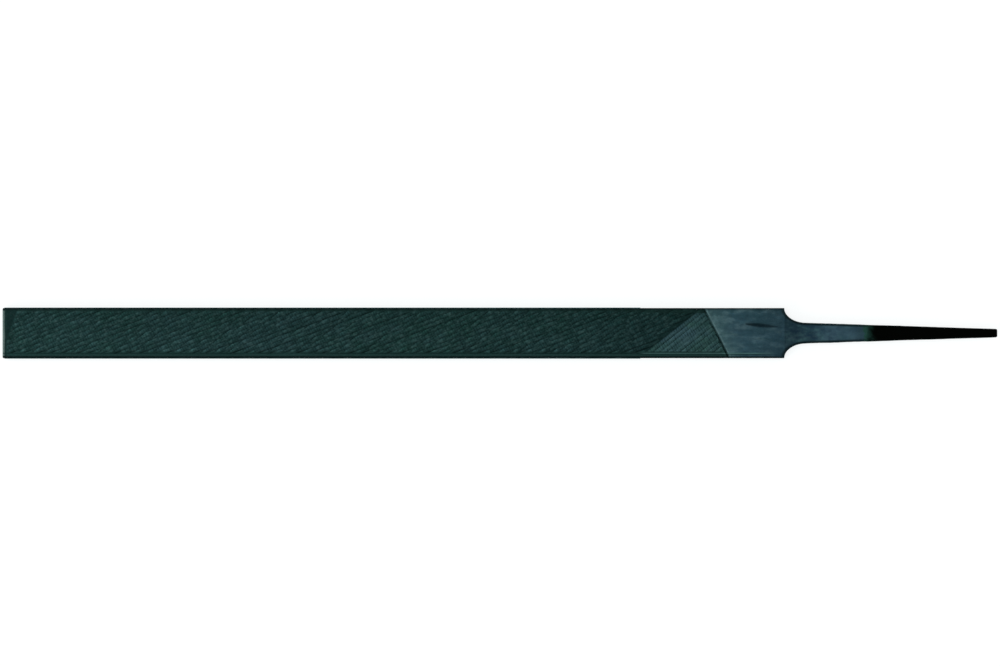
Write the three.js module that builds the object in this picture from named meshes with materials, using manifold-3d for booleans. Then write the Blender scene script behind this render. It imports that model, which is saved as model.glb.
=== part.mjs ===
// A flat hand file for metal: one steel forging with a blade of parallel width, teeth on both faces and
// both narrow edges, a plain heel, hollow shoulders and a bare tapered tang for a handle.
// Teeth are finer than this model: each toothed area is the flat envelope of its tooth tips. On the faces
// that envelope is flush with the heel, and on the narrow edges it stands a little proud of it.
//
// Frame, in millimetres: +X along the file towards the tang, +Y across the blade, +Z up through its
// thickness. The origin is under the middle of the file's length, on the plane that it rests on.
// The shapes are built in a working frame whose X starts at the tip and whose Z starts at mid-thickness.
import * as THREE from "three";
import { mergeVertices } from "three/addons/utils/BufferGeometryUtils.js";
import Module from "manifold-3d";

// Driving dimensions
const BLADE_LENGTH = 250; // square tip to shoulder
const TANG_LENGTH = 68.2; // shoulder to the tang's end
const HEEL_WIDTH = 16.05; // the ground blank, seen at the plain heel
const BLADE_THICKNESS = 5; // between the two parallel stretches of the faces
const BLADE_EDGE_ROUND = 0.45; // along the four long corners of the blade
const TIP_BREAK = 0.3; // edge break round the square tip
const TAPER_LENGTH = 90; // from the tip, where the faces close in on each other
const TIP_THINNING = 1.2; // how much thinner the tip is than the heel

// Toothed narrow edges
const EDGE_TEETH_HEIGHT = 0.15; // how far the tooth tips stand proud of the blank
const EDGE_MARGIN = 0.6; // plain strip along each side of the teeth
const EDGE_TEETH_LENGTH = 204; // from the tip

// Shoulder and tang
const SHOULDER_LENGTH = 7.2; // along X, of the quarter ellipse that runs from the blade into the tang
const TANG_ROOT_WIDTH = 6.6;
const TANG_END_WIDTH = 2.7;
const TANG_ROOT_THICKNESS = 4.1;
const TANG_END_THICKNESS = 2.5;
const TANG_EDGE_ROUND = 0.9;
const TANG_END_BREAK = 0.25;

// Mesh
const CORNER_STEPS = 2;
const SHOULDER_STEPS = 10;
const WELD_DISTANCE = 1e-4; // points nearer each other than this are one point

const STEEL_COLOR = 0x22383b;
const STEEL_ROUGHNESS = 0.45;
const STEEL_METALNESS = 0.9;

const OVERALL_LENGTH = BLADE_LENGTH + TANG_LENGTH;

// The blade's thickness at x: parallel from the heel, then straight down to the thinner tip.
function thicknessAt(x) {
  return BLADE_THICKNESS - TIP_THINNING * Math.max(0, 1 - x / TAPER_LENGTH);
}

// One section: the points of a rectangle with round corners, anticlockwise seen from +X.
function sectionPoints({ x, width, thickness, round }) {
  const points = [];
  for (let corner = 0; corner < 4; corner++) {
    const ySide = corner === 0 || corner === 3 ? 1 : -1;
    const zSide = corner < 2 ? 1 : -1;
    for (let step = 0; step <= CORNER_STEPS; step++) {
      const angle = (Math.PI / 2) * (corner + step / CORNER_STEPS);
      const y = ySide * (width / 2 - round) + round * Math.cos(angle);
      const z = zSide * (thickness / 2 - round) + round * Math.sin(angle);
      points.push(new THREE.Vector3(x, y, z));
    }
  }
  return points;
}

// A closed skin over sections listed from low x to high x.
function loft(sections) {
  const rings = sections.map(sectionPoints);
  const count = rings[0].length;
  const index = [];
  for (let ring = 0; ring + 1 < rings.length; ring++) {
    for (let i = 0; i < count; i++) {
      const next = (i + 1) % count;
      const a = ring * count + i;
      const b = ring * count + next;
      index.push(a, b, b + count, a, b + count, a + count);
    }
  }
  const last = (rings.length - 1) * count;
  for (let i = 1; i + 1 < count; i++) {
    index.push(0, i + 1, i);
    index.push(last, last + i, last + i + 1);
  }
  const geometry = new THREE.BufferGeometry().setFromPoints(rings.flat());
  geometry.setIndex(index);
  return geometry;
}

// The blank's blade, from the broken edge of the tip to the shoulder.
function bladeSections() {
  const full = (x) => ({
    x,
    width: HEEL_WIDTH,
    thickness: thicknessAt(x),
    round: BLADE_EDGE_ROUND,
  });
  const tip = full(0);
  tip.width -= 2 * TIP_BREAK;
  tip.thickness -= 2 * TIP_BREAK;
  return [tip, full(TIP_BREAK), full(TAPER_LENGTH), full(BLADE_LENGTH)];
}

// The hollow shoulder: a quarter ellipse in plan, while the thickness eases from blade to tang.
function shoulderSections() {
  const sections = [];
  for (let step = 1; step <= SHOULDER_STEPS; step++) {
    const angle = (Math.PI / 2) * (step / SHOULDER_STEPS);
    const across = Math.sin(angle);
    const along = 1 - Math.cos(angle);
    sections.push({
      x: BLADE_LENGTH + SHOULDER_LENGTH * along,
      width: THREE.MathUtils.lerp(HEEL_WIDTH, TANG_ROOT_WIDTH, across),
      thickness: THREE.MathUtils.lerp(
        BLADE_THICKNESS,
        TANG_ROOT_THICKNESS,
        THREE.MathUtils.smoothstep(along, 0, 1),
      ),
      round: THREE.MathUtils.lerp(BLADE_EDGE_ROUND, TANG_EDGE_ROUND, across),
    });
  }
  return sections;
}

// The straight taper of the tang beyond the shoulder, down to its blunt end.
function tangSections() {
  const nearEnd = {
    x: OVERALL_LENGTH - TANG_END_BREAK,
    width: TANG_END_WIDTH,
    thickness: TANG_END_THICKNESS,
    round: TANG_EDGE_ROUND,
  };
  const end = {
    x: OVERALL_LENGTH,
    width: TANG_END_WIDTH - 2 * TANG_END_BREAK,
    thickness: TANG_END_THICKNESS - 2 * TANG_END_BREAK,
    round: TANG_EDGE_ROUND - TANG_END_BREAK,
  };
  return [nearEnd, end];
}

// The envelope of the edge teeth, square-cornered: a little wider than the blank and a little thinner.
function edgeTeethSections() {
  const full = (x) => ({
    x,
    width: HEEL_WIDTH + 2 * EDGE_TEETH_HEIGHT,
    thickness: thicknessAt(x) - 2 * EDGE_MARGIN,
    round: 0,
  });
  return [full(2 * TIP_BREAK), full(TAPER_LENGTH), full(EDGE_TEETH_LENGTH)];
}

const wasm = await Module();
wasm.setup();

function solidOf(geometry) {
  const merged = mergeVertices(geometry, WELD_DISTANCE);
  return new wasm.Manifold(
    new wasm.Mesh({
      numProp: 3,
      vertProperties: merged.attributes.position.array,
      triVerts: new Uint32Array(merged.index.array),
    }),
  );
}

function geometryOf(solid) {
  const mesh = solid.getMesh();
  const geometry = new THREE.BufferGeometry();
  geometry.setAttribute("position", new THREE.BufferAttribute(mesh.vertProperties, 3));
  geometry.setIndex(new THREE.BufferAttribute(mesh.triVerts, 1));
  geometry.computeVertexNormals();
  return geometry;
}

// The blank with its toothed narrow edges.
function fileBody() {
  const blank = solidOf(loft([...bladeSections(), ...shoulderSections(), ...tangSections()]));
  const body = blank.add(solidOf(loft(edgeTeethSections())));
  const hardenedSteel = new THREE.MeshStandardMaterial({
    color: STEEL_COLOR,
    roughness: STEEL_ROUGHNESS,
    metalness: STEEL_METALNESS,
  });
  const mesh = new THREE.Mesh(geometryOf(body), hardenedSteel);
  mesh.name = "file_body";
  mesh.position.set(-OVERALL_LENGTH / 2, 0, BLADE_THICKNESS / 2);
  return mesh;
}

const group = new THREE.Group();
group.add(fileBody());

export default group;
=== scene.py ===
"""Looks for the flat file: one steel forging with real cut teeth, on a plain pale floor.

Shapes are made in millimetres in a working frame: X from the tip towards the tang, Y across the blade, and
Z from mid-thickness. They are made straight, then thinned towards the tip and set down in the row frame.
"""
import math

import bmesh
import bpy
import numpy as np
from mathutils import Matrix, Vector, noise


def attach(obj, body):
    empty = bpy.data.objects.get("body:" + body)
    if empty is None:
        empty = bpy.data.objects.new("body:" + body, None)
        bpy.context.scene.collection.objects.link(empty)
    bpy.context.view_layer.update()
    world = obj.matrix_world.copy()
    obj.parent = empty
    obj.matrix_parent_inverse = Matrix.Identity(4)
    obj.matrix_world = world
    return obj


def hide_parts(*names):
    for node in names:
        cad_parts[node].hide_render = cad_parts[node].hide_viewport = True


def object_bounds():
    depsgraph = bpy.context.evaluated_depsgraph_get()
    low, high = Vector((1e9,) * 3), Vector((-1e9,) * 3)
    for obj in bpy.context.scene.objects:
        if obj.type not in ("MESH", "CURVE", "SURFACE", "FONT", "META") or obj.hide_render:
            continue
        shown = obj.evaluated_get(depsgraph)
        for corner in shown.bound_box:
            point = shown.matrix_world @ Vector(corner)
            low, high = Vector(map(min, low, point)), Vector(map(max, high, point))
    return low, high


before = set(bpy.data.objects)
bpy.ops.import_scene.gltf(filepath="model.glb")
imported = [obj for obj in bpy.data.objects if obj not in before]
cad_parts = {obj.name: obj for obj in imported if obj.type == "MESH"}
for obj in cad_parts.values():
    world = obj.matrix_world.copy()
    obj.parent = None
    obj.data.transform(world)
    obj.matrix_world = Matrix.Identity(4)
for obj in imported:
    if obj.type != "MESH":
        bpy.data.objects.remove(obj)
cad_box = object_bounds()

MM = 0.001

# The whole forging, from the frame
OVERALL_LENGTH, OVERALL_WIDTH, BLADE_THICKNESS = (
    round((high - low) / MM, 3) for low, high in zip(*cad_box)
)

# Blade
BLADE_LENGTH = 250.0
BLADE_EDGE_ROUND = 0.45
TIP_BREAK = 0.3
TIP_BREAK_STEPS = (1.0, 0.45, 0.12, 0.0)  # shares of the broken edge still to go, from the tip's end
TAPER_LENGTH = 90.0
TIP_THINNING = 1.2

# Shoulder and tang
SHOULDER_LENGTH = 7.2
TANG_ROOT_WIDTH = 6.6
TANG_END_WIDTH = 2.7
TANG_ROOT_THICKNESS = 4.1
TANG_END_THICKNESS = 2.5
TANG_EDGE_ROUND = 0.9
TANG_END_BREAK = 0.25

# Steps of the blank's mesh
CORNER_STEPS = 6
SHOULDER_STEPS = 28
TANG_STEPS = 90

# Teeth on the faces: long cuts over the whole toothed area, crossed by slanting cuts except in a triangle
# beside the heel. The long cuts stop at one deeper groove that leans the other way. Places along the file
# are on its centre line
LONG_ANGLE = math.radians(38.4)
LONG_PITCH = 1.34
LONG_DEPTH = 0.23
LONG_FIRST = -9.5  # the first cuts only cross one corner of the tip, so their centres lie before it
LONG_CUTS_BEYOND = 12  # how many centres lie past SLANT_END
SLANT_ANGLE = math.radians(20)
SLANT_PITCH = 1.42
SLANT_DEPTH = 0.29
SLANT_FIRST = -20.0
SLANT_END = 213.4  # where the slanting cuts stop
SLANT_BEYOND = 10.0  # how far past SLANT_END the last centre lies
STOP_ANGLE = math.radians(-63)
STOP_AT = 228.2  # where the long cuts stop
STOP_DEPTH = 0.36
STOP_FRONT = 0.34  # the groove's half widths, towards the tip and towards the tang
STOP_BACK = 0.5
STOP_RUN_OUT = 0.8
STOP_MARGIN = 0.2  # between each end of the groove and the side of the blade
NICK_PITCH = 0.8  # fine nicks across the teeth, not cut but painted as shade in colour only
FACE_REACH_HIGH = 7.45  # how far the cuts run from the centre line, towards +Y on the upper face
FACE_REACH_LOW = 6.5
FACE_RUN_OUT = 1.5  # the length over which a cut comes up out of the face
TIP_MARGIN = 0.9  # plain strip at the tip, which widens towards one corner
TIP_CORNER = 1.75  # where the widening strip ends, on the centre line
TIP_LEAN = 0.378

# Teeth on the narrow edges
EDGE_TEETH_HEIGHT = 0.15
EDGE_MARGIN = 0.6
EDGE_TEETH_LENGTH = 204.0
EDGE_CUT_ANGLE = math.radians(63)
EDGE_CUT_PITCH = 0.85
EDGE_CUT_DEPTH = 0.17
EDGE_CUT_FIRST = 1.6
EDGE_CUT_LAST = EDGE_TEETH_LENGTH - 1.4
EDGE_OVERRUN = 0.3  # how far the cuts pass the toothed strip on each side
EDGE_RUN_OUT = 0.9
EDGE_PAD_ROUND = 0.03

# Every cut
CUT_LAND = 0.05  # share of the pitch left flat between two cuts
STEEP_SHARE = 0.2  # share of a cut's width taken by its steep side
CUT_RISE = 0.012  # how far a wedge's sloping sides go on above the face
CUT_CLEARANCE = 0.6  # how high a wedge stands above the face
RUN_OUT_LIFT = 0.05  # how far clear of the face a run-out ends
STATION_SPACING = 1.8  # about how often a cut's depth changes
SHORTEST_CUT = 0.5  # a cut with less than this between its ramps is left out
LIMIT_RAMP_SHARE = 1.1  # a ramp at a line that cuts stop at is a little longer than its end is skewed
LIMIT_RAMP = 0.1

# How far cuts wander from a perfect row, as shares of pitch and depth, and in radians
PLACE_WANDER = 0.06
DEPTH_WANDER = 0.16
TURN_WANDER = 0.006
DEPTH_WANDER_ALONG = 0.3
SEED = 20

# A plain leaf-shaped stamp on the heel
STAMP_PLACE = (243.4, 2.4)
STAMP_LENGTH = 13.0
STAMP_HALF_WIDTH = 0.95
STAMP_ANGLE = math.radians(-5)
STAMP_DEPTH = 0.22
STAMP_LIFT = 0.02
STAMP_STEPS = 14
STAMP_LEAN = 0.75  # below 1, the leaf is widest nearer its first end
STAMP_FULLNESS = 0.8  # below 1, the leaf is fuller than half a wave

# Swellings of the forged tang: heights are shares of its size, and waves are turns of noise to a millimetre
SWELL_START = BLADE_LENGTH + 0.6 * SHOULDER_LENGTH
SWELL_FADE_IN = 6.0
SWELL_FADE_OUT = 1.5
SWELL_HEIGHT = 0.028
SWELL_WAVES = np.array((0.16, 0.3, 0.3))
RIPPLE_HEIGHT = 0.018
RIPPLE_WAVES = np.array((0.8, 0.9, 0.9))
RIPPLE_SHIFT = np.array((0, 0, 7))

# Where the values for the material change
FACE_VALUES_END = BLADE_LENGTH - 0.5
UPRIGHT_END = BLADE_LENGTH + 0.1
EDGE_TEETH_BITE = 0.02  # how far inside the plain sides an edge tooth's point may lie
UPRIGHT_BITE = 0.005
SMOOTH_ANGLE = math.radians(24)

HEEL_WIDTH = OVERALL_WIDTH - 2 * EDGE_TEETH_HEIGHT
HALF_WIDTH = HEEL_WIDTH / 2
HALF_THICKNESS = BLADE_THICKNESS / 2
PAD_HALF_WIDTH = OVERALL_WIDTH / 2
TANG_START = BLADE_LENGTH + SHOULDER_LENGTH


def lerp(a, b, share):
    return a + (b - a) * share


def side_of(angle):
    """The unit vector across a line at that angle, on the tang's side of it."""
    return np.array((abs(math.sin(angle)), -math.cos(angle) * math.copysign(1, math.sin(angle))))


# ---------------------------------------------------------------- blank

def section(x, width, thickness, radius, corner_steps=CORNER_STEPS):
    """The points of a rectangle with round corners, standing at x."""
    ring = []
    for corner in range(4):
        y_side = 1 if corner in (0, 3) else -1
        z_side = 1 if corner < 2 else -1
        for step in range(corner_steps + 1):
            angle = math.pi / 2 * (corner + step / corner_steps)
            y = y_side * (width / 2 - radius) + radius * math.cos(angle)
            z = z_side * (thickness / 2 - radius) + radius * math.sin(angle)
            ring.append((x, y, z))
    return ring


def skin(rings):
    """The vertices and faces of a closed skin over rings of equally many points."""
    count = len(rings[0])
    faces = []
    for ring in range(len(rings) - 1):
        for i in range(count):
            a = ring * count + i
            b = ring * count + (i + 1) % count
            faces.append((a, b, b + count, a + count))
    faces.append(tuple(reversed(range(count))))
    faces.append(tuple(range((len(rings) - 1) * count, len(rings) * count)))
    return [point for ring in rings for point in ring], faces


def blade_rings():
    """The square tip with its broken edge, and the parallel blade."""
    rings = []
    for inset in TIP_BREAK_STEPS:
        shrink = 2 * TIP_BREAK * (1 - math.sqrt(1 - inset * inset))
        rings.append(section(
            TIP_BREAK * (1 - inset),
            HEEL_WIDTH - shrink,
            BLADE_THICKNESS - shrink,
            BLADE_EDGE_ROUND,
        ))
    for x in (TAPER_LENGTH, BLADE_LENGTH):
        rings.append(section(x, HEEL_WIDTH, BLADE_THICKNESS, BLADE_EDGE_ROUND))
    return rings


def shoulder_rings():
    """The hollow shoulder: a quarter ellipse in plan, while the thickness eases from blade to tang."""
    rings = []
    for step in range(1, SHOULDER_STEPS + 1):
        angle = math.pi / 2 * step / SHOULDER_STEPS
        across = math.sin(angle)
        along = 1 - math.cos(angle)
        ease = along * along * (3 - 2 * along)
        rings.append(section(
            BLADE_LENGTH + SHOULDER_LENGTH * along,
            lerp(HEEL_WIDTH, TANG_ROOT_WIDTH, across),
            lerp(BLADE_THICKNESS, TANG_ROOT_THICKNESS, ease),
            lerp(BLADE_EDGE_ROUND, TANG_EDGE_ROUND, across),
        ))
    return rings


def tang_rings():
    """The straight taper beyond the shoulder, down to its blunt, broken end."""
    rings = []
    for step in range(1, TANG_STEPS + 1):
        share = step / TANG_STEPS
        rings.append(section(
            lerp(TANG_START, OVERALL_LENGTH - TANG_END_BREAK, share),
            lerp(TANG_ROOT_WIDTH, TANG_END_WIDTH, share),
            lerp(TANG_ROOT_THICKNESS, TANG_END_THICKNESS, share),
            TANG_EDGE_ROUND,
        ))
    rings.append(section(
        OVERALL_LENGTH,
        TANG_END_WIDTH - 2 * TANG_END_BREAK,
        TANG_END_THICKNESS - 2 * TANG_END_BREAK,
        TANG_EDGE_ROUND - TANG_END_BREAK,
    ))
    return rings


def edge_pad_rings():
    """The envelope of the edge teeth: a little wider than the blank and a little thinner."""
    thickness = BLADE_THICKNESS - 2 * EDGE_MARGIN
    return [
        section(x, OVERALL_WIDTH, thickness, EDGE_PAD_ROUND, corner_steps=1)
        for x in (2 * TIP_BREAK, TAPER_LENGTH, EDGE_TEETH_LENGTH)
    ]


# ---------------------------------------------------------------- cuts

class Cuts:
    """Closed cutting wedges. Neighbours go into different layers, so that no two in a layer meet."""

    def __init__(self, seed):
        self.random = np.random.default_rng(seed)
        self.layers = [([], []), ([], [])]

    def add(self, rings, layer):
        """Puts one wedge into a layer, with its faces pointing out."""
        points, faces = skin(rings)
        corners = np.array(points)
        volume = sum(
            np.dot(corners[f[0]] - corners[0], np.cross(corners[a] - corners[0], corners[b] - corners[0]))
            for f in faces
            for a, b in zip(f[1:-1], f[2:])
        )
        all_points, all_faces = self.layers[layer]
        base = len(all_points)
        for face in faces:
            order = face if volume > 0 else face[::-1]
            all_faces.append(tuple(base + i for i in order))
        all_points.extend(points)

    def wedge(self, surface, centre, angle, stations, front, back, layer=0, off_centre=0.0):
        """One cut. surface is (height, turn about X), and stations are (distance, depth, lift, skew)."""
        height, turn = surface
        along = np.array((math.cos(angle), math.sin(angle)))
        across = side_of(angle)
        rings = []
        for distance, depth, lift, skew in stations:
            flare = 1 + CUT_RISE / depth
            profile = (
                (0.0, -depth),
                (back * flare, CUT_RISE),
                (back * flare, CUT_CLEARANCE),
                (-front * flare, CUT_CLEARANCE),
                (-front * flare, CUT_RISE),
            )
            ring = []
            for offset, level in profile:
                x, v = np.array((centre, off_centre)) + along * (distance + skew * offset) + across * offset
                w = height + level + lift
                ring.append((
                    x,
                    v * math.cos(turn) - w * math.sin(turn),
                    v * math.sin(turn) + w * math.cos(turn),
                ))
            rings.append(ring)
        self.add(rings, layer)

    def stations(self, low, high, depth, low_ramp, high_ramp, skew=0.0):
        """Depths along a cut from low to high, wandering a little, with a ramp at each end. A cut with a
        skew ends at full depth, parallel to the line that it meets. Any other ramp is a run-out."""
        inner_low = low + low_ramp
        inner_high = high - high_ramp
        count = max(2, int((inner_high - inner_low) / STATION_SPACING) + 1)
        places = np.linspace(inner_low, inner_high, count)
        depths = depth * (1 + self.random.uniform(-DEPTH_WANDER_ALONG, DEPTH_WANDER_ALONG, count))
        inner = [(place, at, 0.0, 0.0) for place, at in zip(places, depths)]
        first = (low, depths[0], depths[0] + RUN_OUT_LIFT, 0.0)
        last = (high, depths[-1], 0.0 if skew else depths[-1] + RUN_OUT_LIFT, skew)
        return [first, *inner, last]

    def row(self, surface, angle, pitch, depth, reach, first, last, run_out, limit=None):
        """Parallel cuts. Their centres run from last down to first on the centre line, reach is how far
        they go to its low and high side, and limit is the (place, angle) of a line that they stop at."""
        spacing = pitch / abs(math.sin(angle))
        width = pitch * (1 - CUT_LAND)
        front = width * (1 - STEEP_SHARE)
        back = width * STEEP_SHARE
        along = np.array((math.cos(angle), math.sin(angle)))
        for i in range(int((last - first) / spacing) + 1):
            centre = last - i * spacing + self.random.uniform(-PLACE_WANDER, PLACE_WANDER) * spacing
            low = max(
                -reach[0] / abs(math.sin(angle)),
                (TIP_MARGIN - centre) / along[0],
                (TIP_CORNER - centre) / (along[0] - TIP_LEAN * along[1]),
            )
            high = reach[1] / abs(math.sin(angle))
            high_ramp = run_out
            skew = 0.0
            if limit:
                place, limit_angle = limit
                normal = side_of(limit_angle)
                rate = along @ normal
                gap = (place - centre) * normal[0] / rate
                if gap < high:
                    high = gap
                    skew = -(side_of(angle) @ normal) / rate
                    high_ramp = abs(skew) * back * LIMIT_RAMP_SHARE + LIMIT_RAMP
            if high - low < run_out + high_ramp + SHORTEST_CUT:
                continue
            cut = depth * (1 + self.random.uniform(-DEPTH_WANDER, DEPTH_WANDER))
            tilt = angle + self.random.uniform(-TURN_WANDER, TURN_WANDER)
            stations = self.stations(low, high, cut, run_out, high_ramp, skew)
            self.wedge(surface, centre, tilt, stations, front, back, layer=i % 2)


def stamp_stations():
    """A leaf: its groove comes up out of the face at both ends, and is deepest nearer its first end."""
    for step in range(STAMP_STEPS + 1):
        share = step / STAMP_STEPS
        fullness = math.sin(math.pi * share ** STAMP_LEAN) ** STAMP_FULLNESS
        lift = (STAMP_DEPTH + STAMP_LIFT) * (1 - fullness)
        yield (share - 0.5) * STAMP_LENGTH, STAMP_DEPTH, lift, 0.0


def mesh_object(name, points, faces):
    mesh = bpy.data.meshes.new(name)
    mesh.from_pydata(points, [], faces)
    mesh.validate()
    obj = bpy.data.objects.new(name, mesh)
    bpy.context.scene.collection.objects.link(obj)
    return obj


def combine(body, other, operation):
    """Joins other to body or cuts it from body, and removes other."""
    modifier = body.modifiers.new("combine", "BOOLEAN")
    modifier.operation = operation
    modifier.solver = "MANIFOLD"
    modifier.object = other
    depsgraph = bpy.context.evaluated_depsgraph_get()
    mesh = bpy.data.meshes.new_from_object(body.evaluated_get(depsgraph))
    body.modifiers.clear()
    body.data = mesh
    bpy.data.objects.remove(other)


def keep_biggest_piece(body):
    """Deletes the crumbs that crossing cuts leave loose."""
    mesh = bmesh.new()
    mesh.from_mesh(body.data)
    pieces = []
    unseen = set(mesh.verts)
    while unseen:
        found = {unseen.pop()}
        front = list(found)
        while front:
            vertex = front.pop()
            for edge in vertex.link_edges:
                other = edge.other_vert(vertex)
                if other in unseen:
                    unseen.remove(other)
                    found.add(other)
                    front.append(other)
        pieces.append(found)
    pieces.sort(key=len)
    for crumb in pieces[:-1]:
        bmesh.ops.delete(mesh, geom=sorted(crumb, key=lambda vertex: vertex.index), context="VERTS")
    mesh.to_mesh(body.data)
    mesh.free()


def make_cuts():
    """All cuts, in the order in which they are made."""
    long_cuts = Cuts(SEED)
    slant_cuts = Cuts(SEED + 1)
    stop_cuts = Cuts(SEED + 2)
    upper_face = (HALF_THICKNESS, 0.0)
    lower_face = (HALF_THICKNESS, math.pi)
    face_reach = (FACE_REACH_LOW, FACE_REACH_HIGH)
    long_last = SLANT_END + LONG_CUTS_BEYOND * LONG_PITCH / math.sin(LONG_ANGLE)
    reach = (HALF_WIDTH - STOP_MARGIN) / abs(math.sin(STOP_ANGLE))
    for surface in (upper_face, lower_face):
        long_cuts.row(surface, LONG_ANGLE, LONG_PITCH, LONG_DEPTH, face_reach, LONG_FIRST, long_last,
                      FACE_RUN_OUT, limit=(STOP_AT, STOP_ANGLE))
        slant_cuts.row(surface, SLANT_ANGLE, SLANT_PITCH, SLANT_DEPTH, face_reach, SLANT_FIRST,
                       SLANT_END + SLANT_BEYOND, FACE_RUN_OUT, limit=(SLANT_END, LONG_ANGLE))
        groove = stop_cuts.stations(-reach, reach, STOP_DEPTH, STOP_RUN_OUT, STOP_RUN_OUT)
        stop_cuts.wedge(surface, STOP_AT, STOP_ANGLE, groove, STOP_FRONT, STOP_BACK)
    stamp_x, stamp_y = STAMP_PLACE
    stop_cuts.wedge(upper_face, stamp_x, STAMP_ANGLE, stamp_stations(), STAMP_HALF_WIDTH, STAMP_HALF_WIDTH,
                    layer=1, off_centre=stamp_y)
    edge_reach = [HALF_THICKNESS - EDGE_MARGIN + EDGE_OVERRUN] * 2
    for turn in (math.pi / 2, -math.pi / 2):
        long_cuts.row((PAD_HALF_WIDTH, turn), EDGE_CUT_ANGLE, EDGE_CUT_PITCH, EDGE_CUT_DEPTH, edge_reach,
                      EDGE_CUT_FIRST, EDGE_CUT_LAST, EDGE_RUN_OUT)
    return long_cuts, slant_cuts, stop_cuts


def cut_file():
    """The blank, cut all over."""
    body = mesh_object("file_forging", *skin(blade_rings() + shoulder_rings() + tang_rings()))
    combine(body, mesh_object("pads", *skin(edge_pad_rings())), "UNION")
    for cuts in make_cuts():
        for points, faces in cuts.layers:
            if points:
                combine(body, mesh_object("cuts", points, faces), "DIFFERENCE")
    keep_biggest_piece(body)
    return body


# ---------------------------------------------------------------- finish of the shape

def thin_tip(points):
    share = np.clip(1 - points[:, 0] / TAPER_LENGTH, 0, 1)
    points[:, 2] *= 1 - TIP_THINNING / BLADE_THICKNESS * share


def roughen_tang(points):
    """Swells the tang unevenly, as forging leaves it, and not at its two ends."""
    for i in np.nonzero(points[:, 0] > SWELL_START)[0]:
        x = points[i, 0]
        fade_in = min(1.0, (x - SWELL_START) / SWELL_FADE_IN)
        fade_out = min(1.0, (OVERALL_LENGTH - x) / SWELL_FADE_OUT)
        swell = SWELL_HEIGHT * noise.noise(Vector(points[i] * SWELL_WAVES))
        ripple = RIPPLE_HEIGHT * noise.noise(Vector(points[i] * RIPPLE_WAVES + RIPPLE_SHIFT))
        points[i, 1:] *= 1 + fade_in * fade_out * (swell + ripple)


def add_values(mesh, name, values):
    """Gives each vertex a value that the material reads by name."""
    attribute = mesh.attributes.new(name, "FLOAT", "POINT")
    attribute.data.foreach_set("value", values.astype(np.float32))


def set_down(body):
    """Thins the tip, roughens the tang and moves the forging to its place in the row frame. Notes two
    values for the material: sink, how deep a point lies below the tooth tips, from 0 to 1, and flank, how
    far the surface turns away from the broad faces, from 0 to 1."""
    mesh = body.data
    count = len(mesh.vertices)
    points = np.empty(count * 3)
    mesh.vertices.foreach_get("co", points)
    points = points.reshape(-1, 3)
    x = points[:, 0]
    side = np.abs(points[:, 1])
    on_face = side < HALF_WIDTH - BLADE_EDGE_ROUND
    on_edge_teeth = (side > HALF_WIDTH - EDGE_TEETH_BITE) & (x < EDGE_TEETH_LENGTH)
    before_shoulder = x < FACE_VALUES_END

    face_sink = (HALF_THICKNESS - np.abs(points[:, 2])) / LONG_DEPTH
    edge_sink = (PAD_HALF_WIDTH - side) / EDGE_CUT_DEPTH
    sink = np.where(on_face, face_sink, np.where(on_edge_teeth, edge_sink, 0))
    add_values(mesh, "sink", np.where(before_shoulder, np.clip(sink, 0, 1), 0))

    thin_tip(points)
    roughen_tang(points)
    placed = (points + (-OVERALL_LENGTH / 2, 0, HALF_THICKNESS)) * MM
    mesh.vertices.foreach_set("co", placed.ravel())
    mesh.update()

    normals = np.empty(count * 3)
    mesh.vertex_normals.foreach_get("vector", normals)
    flank = 1 - np.abs(normals.reshape(-1, 3)[:, 2])
    flank = np.where(on_face & before_shoulder, 0, flank)
    upright = (side > HALF_WIDTH - UPRIGHT_BITE) & (x < UPRIGHT_END)
    add_values(mesh, "flank", np.where(upright, 1, flank))
    mesh.shade_smooth()
    mesh.set_sharp_from_angle(angle=SMOOTH_ANGLE)


# ---------------------------------------------------------------- material

def colour(red, green, blue):
    """A linear colour from sRGB values of 0 to 255."""
    def linear(value):
        value /= 255
        return value / 12.92 if value < 0.04045 else ((value + 0.055) / 1.055) ** 2.4
    return linear(red), linear(green), linear(blue), 1.0


# Toothed faces
TEETH_GREEN = colour(35, 67, 62)
TEETH_BLUE = colour(41, 69, 70)
TEETH_PALE = colour(48, 74, 78)
TEETH_REAR = colour(20, 52, 50)
TEETH_LAST = colour(12, 34, 32)
TEETH_HIGH_SHADE = colour(16, 44, 40)
TEETH_GROOVE = colour(17, 35, 33)
TRIANGLE_GREEN = colour(46, 76, 72)
TRIANGLE_BLUE = colour(52, 78, 84)
TRIANGLE_HIGH_SHADE = colour(24, 48, 52)
TRIANGLE_REAR = colour(30, 58, 55)
TRIANGLE_GROOVE = colour(37, 62, 62)
NICK_SHADE = colour(10, 24, 23)
PALE_SPECKS = colour(84, 112, 110)
LAST_CUTS = colour(12, 30, 29)
RUN_OUT_SHADE = colour(12, 28, 27)
TIP_TEETH_SHADE = colour(10, 25, 24)
MARGIN_HIGH_SHADE = colour(22, 43, 40)
MARGIN_LOW = colour(24, 45, 43)
TIP_PLAIN = colour(16, 34, 32)
TIP_BARE = colour(105, 122, 118)

# Ground heel
HEEL_GREY = colour(32, 54, 60)
HEEL_BLUE = colour(40, 62, 72)
HEEL_PALE = colour(50, 72, 79)
HEEL_BRIGHT = colour(60, 84, 82)
HEEL_HIGH_SHADE = colour(28, 50, 50)
HEEL_GRAIN = colour(24, 44, 52)
HEEL_LIGHT_CLOUD = colour(74, 96, 100)
HEEL_DARK_CLOUD = colour(20, 40, 47)
HEEL_LIP_HIGHLIGHT = colour(98, 124, 124)
STAMP_SHADE = colour(9, 24, 29)
SHOULDER_SHADE = colour(22, 38, 46)
LIT_LINE = colour(58, 86, 84)
DARK_LINE = colour(9, 28, 26)

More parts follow.
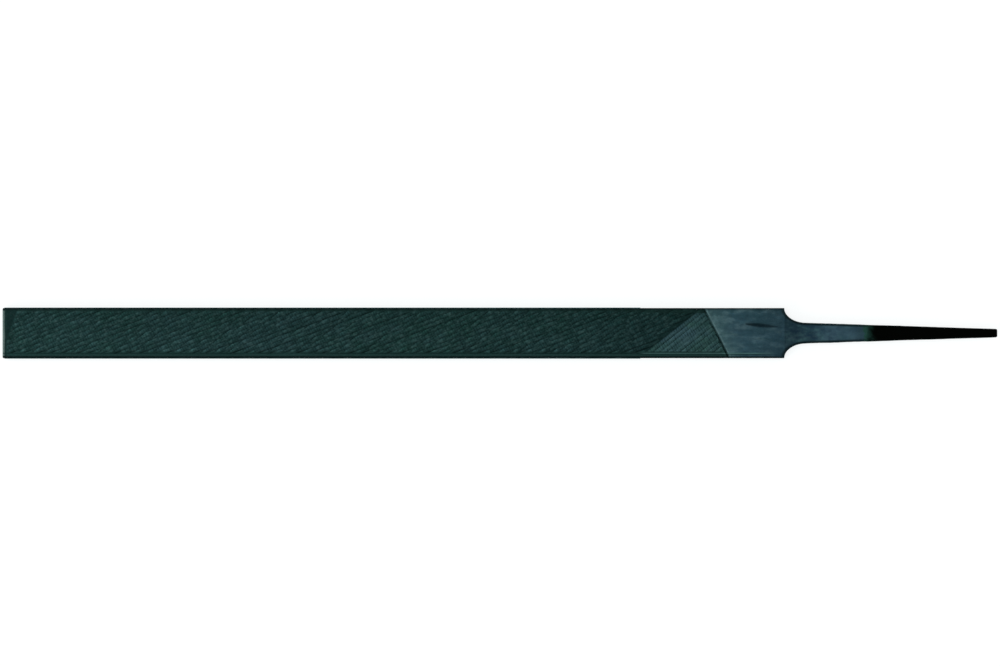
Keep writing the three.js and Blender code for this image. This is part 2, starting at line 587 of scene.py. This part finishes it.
# Neck and tang
NECK_SHADE = colour(22, 42, 51)
NECK_DARK = colour(15, 32, 47)
NECK_LIGHT = colour(54, 82, 84)
ROOT_GREY = colour(37, 58, 67)
ROOT_BLUE = colour(48, 69, 79)
HEAT_TINT = colour(20, 36, 42)
HEAT_GREEN = colour(24, 54, 42)
BLACK_SCALE = colour(3, 4, 3)
SCALE_WORN = colour(100, 124, 130)

# Painted rim and corner shade, narrow sides and worn corners
RIM_SHADE = colour(9, 21, 21)
LOW_RIM_SHADE = colour(5, 14, 13)
ROUNDED_SHADE = colour(10, 20, 20)
EDGE_TEETH_DARK = colour(34, 60, 58)
EDGE_TEETH_LIGHT = colour(66, 98, 100)
EDGE_GROOVE = colour(12, 25, 24)
EDGE_GREY = colour(30, 50, 57)
EDGE_BLUE = colour(44, 67, 76)
CORNER_WORN = colour(98, 120, 120)

# Places across the file where its looks change, towards +Y and towards -Y
HIGH_TEETH_EDGE = 6.8
HIGH_TEETH_EDGE_REAR = 6.3
LOW_TEETH_EDGE = -5.75
LIT_LINE_PLACE = -6.48
DARK_LINE_PLACE = -6.83
LOW_RIM_SHADE_PLACE = -7.2

# Places along the tang where its looks change
ROOT_START = BLADE_LENGTH + 8
ROOT_FULL = BLADE_LENGTH + 13
TINT_START = BLADE_LENGTH + 22
TINT_FULL = BLADE_LENGTH + 24.5
FILM_START = BLADE_LENGTH + 24.8
FILM_FULL = BLADE_LENGTH + 26
SCALE_START = BLADE_LENGTH + 25.8
SCALE_FULL = BLADE_LENGTH + 29.2


class Nodes:
    """Short ways to add shader nodes to one material."""

    def __init__(self, name):
        self.material = bpy.data.materials.new(name)
        self.material.use_nodes = True
        self.tree = self.material.node_tree
        self.tree.nodes.clear()

    def feed(self, socket, value):
        if isinstance(value, bpy.types.NodeSocket):
            self.tree.links.new(value, socket)
        else:
            socket.default_value = value

    def node(self, kind, **settings):
        made = self.tree.nodes.new(kind)
        for key, value in settings.items():
            setattr(made, key, value)
        return made

    def attribute(self, name):
        return self.node("ShaderNodeAttribute", attribute_name=name).outputs["Fac"]

    def math(self, operation, *values, clamp=False):
        made = self.node("ShaderNodeMath", operation=operation, use_clamp=clamp)
        for socket, value in zip(made.inputs, values):
            self.feed(socket, value)
        return made.outputs[0]

    def plus(self, a, b):
        return self.math("ADD", a, b)

    def minus(self, a, b):
        return self.math("SUBTRACT", a, b)

    def times(self, a, b):
        return self.math("MULTIPLY", a, b)

    def span(self, value, low, high, to_low=0.0, to_high=1.0, smooth=False):
        """Takes low to to_low and high to to_high, and stays level beyond them."""
        made = self.node("ShaderNodeMapRange", interpolation_type="SMOOTHSTEP" if smooth else "LINEAR")
        for socket, item in zip(made.inputs, (value, low, high, to_low, to_high)):
            self.feed(socket, item)
        return made.outputs[0]

    def noise(self, place, scale, detail=3.0, rough=0.55, stretch=(1, 1, 1), shift=0.0):
        mapping = self.node("ShaderNodeMapping")
        self.feed(mapping.inputs["Vector"], place)
        self.feed(mapping.inputs["Scale"], stretch)
        self.feed(mapping.inputs["Location"], (shift, shift * 0.7, shift * 0.3))
        made = self.node("ShaderNodeTexNoise")
        self.feed(made.inputs["Vector"], mapping.outputs[0])
        self.feed(made.inputs["Scale"], scale)
        self.feed(made.inputs["Detail"], detail)
        self.feed(made.inputs["Roughness"], rough)
        return made.outputs["Fac"]

    def mix(self, share, a, b):
        made = self.node("ShaderNodeMix", data_type="RGBA")
        self.feed(made.inputs["Factor"], share)
        self.feed(made.inputs["A"], a)
        self.feed(made.inputs["B"], b)
        return made.outputs["Result"]

    def principled(self, **inputs):
        """A Principled shader on the output. Inputs are named with _ for each space."""
        shader = self.node("ShaderNodeBsdfPrincipled")
        for name, value in inputs.items():
            self.feed(shader.inputs[name.replace("_", " ")], value)
        output = self.node("ShaderNodeOutputMaterial")
        self.feed(output.inputs["Surface"], shader.outputs[0])


class FileSteel(Nodes):
    """Dark hardened steel: oily black-green teeth, a blue-grey heel and a tang with black scale.
    All places are in the working frame, and the lower face looks like the upper one turned half round."""

    def __init__(self):
        super().__init__("file_steel")
        self.find_places()
        self.make_noises()
        self.root = self.mix(self.span(self.blotch, 0.3, 0.7), ROOT_GREY, ROOT_BLUE)
        surface = self.mix(self.heel, self.toothed_face(), self.ground_face())
        surface = self.with_lines(surface)
        surface = self.with_rim_shade(surface)
        surface = self.mix(self.span(self.flank, 0.7, 0.9), surface, self.narrow_side())
        surface = self.with_worn_corners(surface)
        ragged_x = self.plus(self.x, self.span(self.ragged, 0, 1, -2.4, 2.4))
        scale = self.span(ragged_x, SCALE_START, SCALE_FULL, smooth=True)
        surface = self.with_scale(surface, ragged_x, scale)
        self.principled(
            Base_Color=surface,
            Roughness=self.roughness(scale),
            Metallic=1.0,
            Specular_Tint=(0.5, 0.56, 0.56, 1),
            Normal=self.relief(scale),
        )

    def past_line(self, angle, place):
        """How far past a slanting line a point is, along the file."""
        return self.minus(self.minus(self.x, self.times(self.y, 1 / math.tan(angle))), place)

    def thin_line(self, distance, strength):
        """A line along the file, that distance from its centre towards -Y."""
        return self.span(self.math("ABSOLUTE", self.plus(self.y, distance)), 0.28, 0.1, 0, strength)

    def find_places(self):
        scaled = self.node("ShaderNodeVectorMath", operation="SCALE")
        self.feed(scaled.inputs[0], self.node("ShaderNodeTexCoord").outputs["Object"])
        self.feed(scaled.inputs["Scale"], 1 / MM)
        self.place = scaled.outputs[0]
        split = self.node("ShaderNodeSeparateXYZ")
        self.feed(split.inputs[0], self.place)
        along, across, up = split.outputs
        self.x = self.plus(along, OVERALL_LENGTH / 2)
        self.side = self.math("ABSOLUTE", across)
        facing = self.span(up, HALF_THICKNESS - 0.01, HALF_THICKNESS + 0.01, -1, 1)
        self.y = self.times(across, facing)
        self.sink = self.attribute("sink")
        self.flank = self.attribute("flank")
        self.long_line = self.past_line(LONG_ANGLE, SLANT_END)
        self.stop_line = self.past_line(STOP_ANGLE, STOP_AT)
        self.single = self.span(self.long_line, -0.3, 0.3)
        self.heel = self.span(self.stop_line, 0.1, 0.4)

    def make_noises(self):
        self.slow = self.noise(self.place, 0.035, stretch=(1, 2.2, 2.2))
        self.patch = self.noise(self.place, 0.12, stretch=(1, 1.6, 1.6), shift=31)
        self.blotch = self.noise(self.place, 0.3, detail=2, stretch=(0.8, 1, 1), shift=43)
        self.cloud = self.noise(self.place, 0.4, rough=0.6, stretch=(0.6, 1.3, 1), shift=71)
        self.ragged = self.noise(self.place, 0.45, detail=5, rough=0.6, shift=11)
        self.mottle = self.noise(self.place, 0.5, rough=0.6, stretch=(0.7, 1.2, 1), shift=83)
        self.streaks = self.noise(self.place, 0.9, detail=4, stretch=(0.12, 1, 1), shift=17)
        self.grain = self.noise(self.place, 0.9, rough=0.7, shift=59)
        self.fine = self.noise(self.place, 1.6, detail=4, shift=5)
        self.finest = self.noise(self.place, 5, shift=3)

    def double_cut(self):
        """Where both sets of cuts cross: darker towards the tang, and painted shade towards +Y."""
        teeth = self.mix(self.span(self.slow, 0.35, 0.65), TEETH_GREEN, TEETH_BLUE)
        teeth = self.mix(self.span(self.blotch, 0.4, 0.75, 0, 0.6), teeth, TEETH_PALE)
        teeth = self.mix(self.span(self.x, 130, 215, 0, 0.3), teeth, TEETH_REAR)
        teeth = self.mix(self.span(self.x, 185, 198, 0, 0.2), teeth, TEETH_LAST)
        # painted shade: darker towards +Y, as though lit from the -Y side
        return self.mix(self.span(self.y, -3, 7, 0.08, 0.38), teeth, TEETH_HIGH_SHADE)

    def single_cut(self):
        """The triangle of long cuts beside the heel: lighter, with painted shade towards +Y, and darker
        towards the heel.
        """
        teeth = self.mix(self.span(self.patch, 0.38, 0.62), TRIANGLE_GREEN, TRIANGLE_BLUE)
        # painted shade: darker towards +Y, as though lit from the -Y side
        teeth = self.mix(self.span(self.y, 2.0, 6.5, 0, 0.42), teeth, TRIANGLE_HIGH_SHADE)
        return self.mix(self.span(self.stop_line, -6, 0, 0, 0.55), teeth, TRIANGLE_REAR)

    def nick_shade(self):
        """Painted shade of fine nicks across the teeth, which are not cut: dark stripes parallel to the
        line where the teeth stop.
        """
        turns = self.times(self.stop_line, -math.sin(STOP_ANGLE) * math.tau / NICK_PITCH)
        wave = self.math("SINE", self.plus(turns, self.times(self.ragged, 9.0)))
        return self.times(self.times(self.span(wave, -0.2, 1.0), self.span(self.grain, 0.35, 0.6)), 0.62)

    def toothed_face(self):
        teeth = self.mix(self.single, self.double_cut(), self.single_cut())
        groove = self.mix(self.single, TEETH_GROOVE, TRIANGLE_GROOVE)
        teeth = self.mix(self.span(self.sink, 0.15, 1.0, 0.0, 0.6), teeth, groove)
        # painted shade of the fine nicks
        teeth = self.mix(self.nick_shade(), teeth, NICK_SHADE)
        # paler specks here and there
        teeth = self.mix(self.span(self.grain, 0.5, 0.3, 0, 0.25), teeth, PALE_SPECKS)
        # two darker cuts where the slanting set stops
        last_cuts = self.math("ABSOLUTE", self.plus(self.long_line, 0.9))
        teeth = self.mix(self.span(last_cuts, 1.9, 1.1, 0, 0.5), teeth, LAST_CUTS)
        return self.with_plain_strips(teeth)

    def with_plain_strips(self, teeth):
        """The plain margins beside the teeth and the plain corner and bare edge at the tip."""
        # painted shade: the margin towards +Y a little darker than the one towards -Y
        margin = self.mix(self.span(self.y, 0.5, -0.5), MARGIN_HIGH_SHADE, MARGIN_LOW)
        teeth = self.mix(self.span(self.y, -5.1, -5.6, 0, 0.15), teeth, RUN_OUT_SHADE)
        # painted shade: the teeth darker over the last few millimetres towards the tip
        teeth = self.mix(self.span(self.x, 4.0, 1.5, 0, 0.45), teeth, TIP_TEETH_SHADE)
        high_edge = self.span(self.x, SLANT_END - 20, SLANT_END, HIGH_TEETH_EDGE, HIGH_TEETH_EDGE_REAR)
        beyond_high = self.span(self.minus(self.y, high_edge), 0, 0.25)
        beyond_low = self.span(self.y, LOW_TEETH_EDGE, LOW_TEETH_EDGE - 0.2)
        beside = self.math("MAXIMUM", beyond_low, beyond_high)
        teeth = self.mix(beside, teeth, margin)
        corner = self.minus(self.x, self.times(self.y, TIP_LEAN))
        teeth = self.mix(self.span(corner, TIP_CORNER + 0.6, TIP_CORNER, 0, 0.9), teeth, RUN_OUT_SHADE)
        teeth = self.mix(self.span(self.x, 1.6, 1.0), teeth, TIP_PLAIN)
        ragged_tip = self.plus(self.x, self.span(self.ragged, 0, 1, -0.25, 0.25))
        return self.mix(self.span(ragged_tip, 0.8, 0.0), teeth, TIP_BARE)

    def ground_face(self):
        """The heel is lighter and greener beside the last teeth, with painted shade towards +Y and a
        painted highlight along their lip.
        """
        ground = self.mix(self.span(self.streaks, 0.3, 0.7), HEEL_GREY, HEEL_BLUE)
        ground = self.mix(self.span(self.blotch, 0.42, 0.7, 0, 0.4), ground, HEEL_PALE)
        bright = self.plus(self.stop_line, self.span(self.y, -7, 7, 1.0, -1.5))
        ground = self.mix(self.span(bright, 7, -1, 0, 0.58), ground, HEEL_BRIGHT)
        # painted shade: the heel darker towards +Y, with a ragged edge, as though lit from the -Y side
        ragged_y = self.plus(self.y, self.span(self.ragged, 0, 1, -2, 2))
        ground = self.mix(self.span(ragged_y, 2.5, 7.5, 0, 0.3), ground, HEEL_HIGH_SHADE)
        ground = self.mix(self.span(self.grain, 0.4, 0.75, 0, 0.45), ground, HEEL_GRAIN)
        ground = self.mix(self.span(self.cloud, 0.5, 0.75, 0, 0.5), ground, HEEL_LIGHT_CLOUD)
        ground = self.mix(self.span(self.cloud, 0.5, 0.25, 0, 0.5), ground, HEEL_DARK_CLOUD)
        # painted highlight: a thin pale band on the heel's side of the stop groove, as though its wall
        # caught the light
        lip_highlight = self.times(self.span(self.stop_line, 0.45, 0.6), self.span(self.stop_line, 1.1, 0.8))
        lip_highlight = self.times(lip_highlight, self.span(self.ragged, 0.35, 0.6, 0.05, 0.28))
        ground = self.mix(lip_highlight, ground, HEEL_LIP_HIGHLIGHT)
        ground = self.mix(self.span(self.sink, 0.1, 0.6, 0, 0.85), ground, STAMP_SHADE)
        return self.with_neck(ground)

    def with_neck(self, ground):
        """Painted shade into the hollow shoulders and on the neck, which is also mottled; the tang's root
        is bright again.
        """
        # painted shade: darker over the heel's last millimetres, up to where the thickness eases
        painted_shoulder_shade = self.times(
            self.span(self.x, BLADE_LENGTH - 9, BLADE_LENGTH - 1, 0, 0.5),
            self.span(self.x, BLADE_LENGTH - 0.3, BLADE_LENGTH + 0.5, 1, 0.6),
        )
        ground = self.mix(painted_shoulder_shade, ground, SHOULDER_SHADE)
        # painted shade: the neck darker still
        painted_neck_shade = self.span(self.x, BLADE_LENGTH + 1, BLADE_LENGTH + 7, 0, 0.55, smooth=True)
        ground = self.mix(painted_neck_shade, ground, NECK_SHADE)
        on_root = self.span(self.x, ROOT_START, ROOT_FULL, smooth=True)
        ground = self.mix(on_root, ground, self.root)
        mottled = self.times(
            self.span(self.x, BLADE_LENGTH - 1, BLADE_LENGTH + 2),
            self.span(self.x, BLADE_LENGTH + 20, BLADE_LENGTH + 10, 0.45, 1),
        )
        dark = self.times(mottled, self.span(self.mottle, 0.5, 0.68, 0, 0.6))
        light = self.times(mottled, self.span(self.mottle, 0.48, 0.3, 0, 0.55))
        return self.mix(light, self.mix(dark, ground, NECK_DARK), NECK_LIGHT)

    def with_lines(self, surface):
        """Two thin lines along the -Y margin: one lit, behind the edge teeth, and one dark."""
        before_shoulder = self.span(self.x, BLADE_LENGTH - 2, BLADE_LENGTH - 9)
        behind_teeth = self.span(self.x, EDGE_TEETH_LENGTH - 1, EDGE_TEETH_LENGTH + 2)
        lit = self.times(self.thin_line(-LIT_LINE_PLACE, 0.75), behind_teeth)
        surface = self.mix(self.times(lit, before_shoulder), surface, LIT_LINE)
        # a thin darker line along the -Y margin, moving outward beyond the edge teeth; nothing is cut there
        behind_teeth = (EDGE_TEETH_LENGTH - 1, EDGE_TEETH_LENGTH + 1)
        distance = self.span(self.x, *behind_teeth, -LIT_LINE_PLACE, -DARK_LINE_PLACE)
        dark = self.thin_line(distance, 0.6)
        return self.mix(self.times(dark, before_shoulder), surface, DARK_LINE)

    def shoulder_rim_shade(self):
        """Painted shade: a dark band along the outline of the hollow shoulders and the tang."""
        hollow = (HEEL_WIDTH - TANG_ROOT_WIDTH) / 2
        narrowing = (TANG_ROOT_WIDTH - TANG_END_WIDTH) / 2
        ahead = self.math("MINIMUM", self.minus(self.x, TANG_START), 0.0)
        ahead = self.math("DIVIDE", ahead, SHOULDER_LENGTH)
        beyond = self.math("DIVIDE", self.minus(HALF_WIDTH, self.side), hollow)
        outward = self.math("SQRT", self.plus(self.times(ahead, ahead), self.times(beyond, beyond)))
        taper = self.span(self.x, TANG_START, OVERALL_LENGTH, 0, narrowing)
        inside = self.minus(self.times(self.minus(outward, 1.0), hollow), taper)
        return self.span(inside, 0.95, 0.45, smooth=True)

    def with_rim_shade(self, surface):
        """Painted shade: darker along the long corners and round the shoulders."""
        rim_shade = self.times(
            self.span(self.side, HALF_WIDTH - 1.0, HALF_WIDTH - 0.5, smooth=True),
            self.span(self.x, BLADE_LENGTH + 1.5, BLADE_LENGTH),
        )
        rim_shade = self.math("MAXIMUM", self.times(rim_shade, self.span(self.heel, 0, 1, 1, 0.5)), self.shoulder_rim_shade())
        surface = self.mix(self.times(rim_shade, self.span(self.x, 0.5, 3.0, 1.0, 0.75)), surface, RIM_SHADE)
        # painted shade: a darker band along the corner towards -Y
        low_rim_shade = self.times(
            self.span(self.y, LOW_RIM_SHADE_PLACE, LOW_RIM_SHADE_PLACE - 0.2, 0, 0.5),
            self.span(self.x, BLADE_LENGTH - 1, BLADE_LENGTH - 4),
        )
        surface = self.mix(low_rim_shade, surface, LOW_RIM_SHADE)
        # painted shade: darker as the surface turns away from the broad faces
        return self.mix(self.span(self.flank, 0.08, 0.5, 0, 0.7), surface, ROUNDED_SHADE)

    def narrow_side(self):
        """The upright sides: edge teeth, then bare ground steel, then the tang."""
        teeth = self.mix(self.grain, EDGE_TEETH_DARK, EDGE_TEETH_LIGHT)
        teeth = self.mix(self.span(self.sink, 0.2, 1.0, 0, 0.85), teeth, EDGE_GROOVE)
        ground = self.mix(self.span(self.streaks, 0.3, 0.7), EDGE_GREY, EDGE_BLUE)
        behind_teeth = self.span(self.x, EDGE_TEETH_LENGTH - 0.3, EDGE_TEETH_LENGTH + 0.1)
        side = self.mix(behind_teeth, teeth, ground)
        return self.mix(self.span(self.x, BLADE_LENGTH + 6, BLADE_LENGTH + 9), side, self.root)

    def with_worn_corners(self, surface):
        """Handling has rubbed the corners bright in places."""
        corner = self.times(self.span(self.flank, 0.35, 0.55), self.span(self.flank, 0.85, 0.65))
        worn = self.times(corner, self.span(self.ragged, 0.48, 0.62, 0, 0.6))
        return self.mix(worn, surface, CORNER_WORN)

    def with_scale(self, surface, ragged_x, scale):
        """Black scale on the tang, with a greenish film where it begins."""
        surface = self.mix(self.span(ragged_x, TINT_START, TINT_FULL, 0, 0.5), surface, HEAT_TINT)
        film = self.span(ragged_x, FILM_START, FILM_FULL, smooth=True)
        surface = self.mix(self.times(film, 0.75), surface, HEAT_GREEN)
        surface = self.mix(scale, surface, BLACK_SCALE)
        worn = self.times(self.span(self.fine, 0.52, 0.7), self.span(scale, 0, 1, 0.05, 0.004))
        return self.mix(worn, surface, SCALE_WORN)

    def roughness(self, scale):
        """Rougher in the grooves and on the scale."""
        rough = self.plus(self.span(self.fine, 0.3, 0.7, 0.38, 0.54), self.times(self.sink, 0.12))
        return self.math("ADD", rough, self.times(scale, 0.12), clamp=True)

    def relief(self, scale):
        """Bumps in millimetres: fine grain all over, grinding marks on the heel and rough scale."""
        grinding = self.times(self.times(self.streaks, self.heel), 0.02)
        height = self.plus(self.times(self.finest, 0.012), grinding)
        height = self.plus(height, self.times(self.times(self.ragged, scale), 0.05))
        bump = self.node("ShaderNodeBump")
        self.feed(bump.inputs["Distance"], MM)
        self.feed(bump.inputs["Strength"], 1.0)
        self.feed(bump.inputs["Height"], height)
        return bump.outputs[0]


# ---------------------------------------------------------------- stage

# The stage, in metres
FLOOR_REACH = 30
FLOOR_DROP = 0.02 * MM  # keeps the floor from meeting the lower face
CAMERA_PLACE = (0.0, 0.000042, 1.781)


def make_floor():
    """A pale floor that glows, so that it stays nearly white under soft light."""
    corners = [(x * FLOOR_REACH, y * FLOOR_REACH, 0) for x, y in ((-1, -1), (1, -1), (1, 1), (-1, 1))]
    floor = mesh_object("floor", corners, [(0, 1, 2, 3)])
    floor.location.z = -FLOOR_DROP
    white = Nodes("floor_white")
    white.principled(
        Base_Color=(0.25, 0.253, 0.254, 1),
        Roughness=0.9,
        Specular_IOR_Level=0.1,
        Emission_Color=(0.98, 1.0, 1.0, 1),
        Emission_Strength=0.8,
    )
    floor.data.materials.append(white.material)


def make_world():
    """A soft white room, half as bright overhead as near the horizon."""
    world = bpy.data.worlds.new("studio")
    world.use_nodes = True
    tree = world.node_tree
    background = tree.nodes["Background"]
    background.inputs["Color"].default_value = (0.955, 0.99, 1.0, 1)
    place = tree.nodes.new("ShaderNodeTexCoord")
    split = tree.nodes.new("ShaderNodeSeparateXYZ")
    tree.links.new(place.outputs["Generated"], split.inputs[0])
    fade = tree.nodes.new("ShaderNodeMapRange")
    fade.interpolation_type = "SMOOTHSTEP"
    for name, value in (("From Min", 0.4), ("From Max", 0.8), ("To Min", 1.0), ("To Max", 0.5)):
        fade.inputs[name].default_value = value
    tree.links.new(split.outputs["Z"], fade.inputs["Value"])
    tree.links.new(fade.outputs["Result"], background.inputs["Strength"])
    bpy.context.scene.world = world


def area_light(name, place, size, power):
    """A square light that faces the origin."""
    light = bpy.data.lights.new(name, "AREA")
    light.size = size
    light.energy = power
    obj = bpy.data.objects.new(name, light)
    obj.location = place
    obj.rotation_euler = (-Vector(place)).to_track_quat("-Z", "Y").to_euler()
    bpy.context.scene.collection.objects.link(obj)


def make_camera():
    """A long lens straight above the file."""
    camera = bpy.data.cameras.new("camera")
    camera.lens = 200
    camera.sensor_width = 36
    camera.clip_end = 100
    view = bpy.data.objects.new("camera", camera)
    view.location = CAMERA_PLACE
    bpy.context.scene.collection.objects.link(view)
    bpy.context.scene.camera = view
    bpy.context.scene.view_settings.view_transform = "Standard"


make_camera()
make_floor()
make_world()
area_light("overhead", place=(-0.3, 0.1, 2.2), size=1.1, power=14)
area_light("key", place=(-1.2, -0.9, 1.3), size=0.7, power=9)

forging = cut_file()
set_down(forging)
forging.data.materials.clear()
forging.data.materials.append(FileSteel().material)
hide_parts("file_body")
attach(forging, "root")
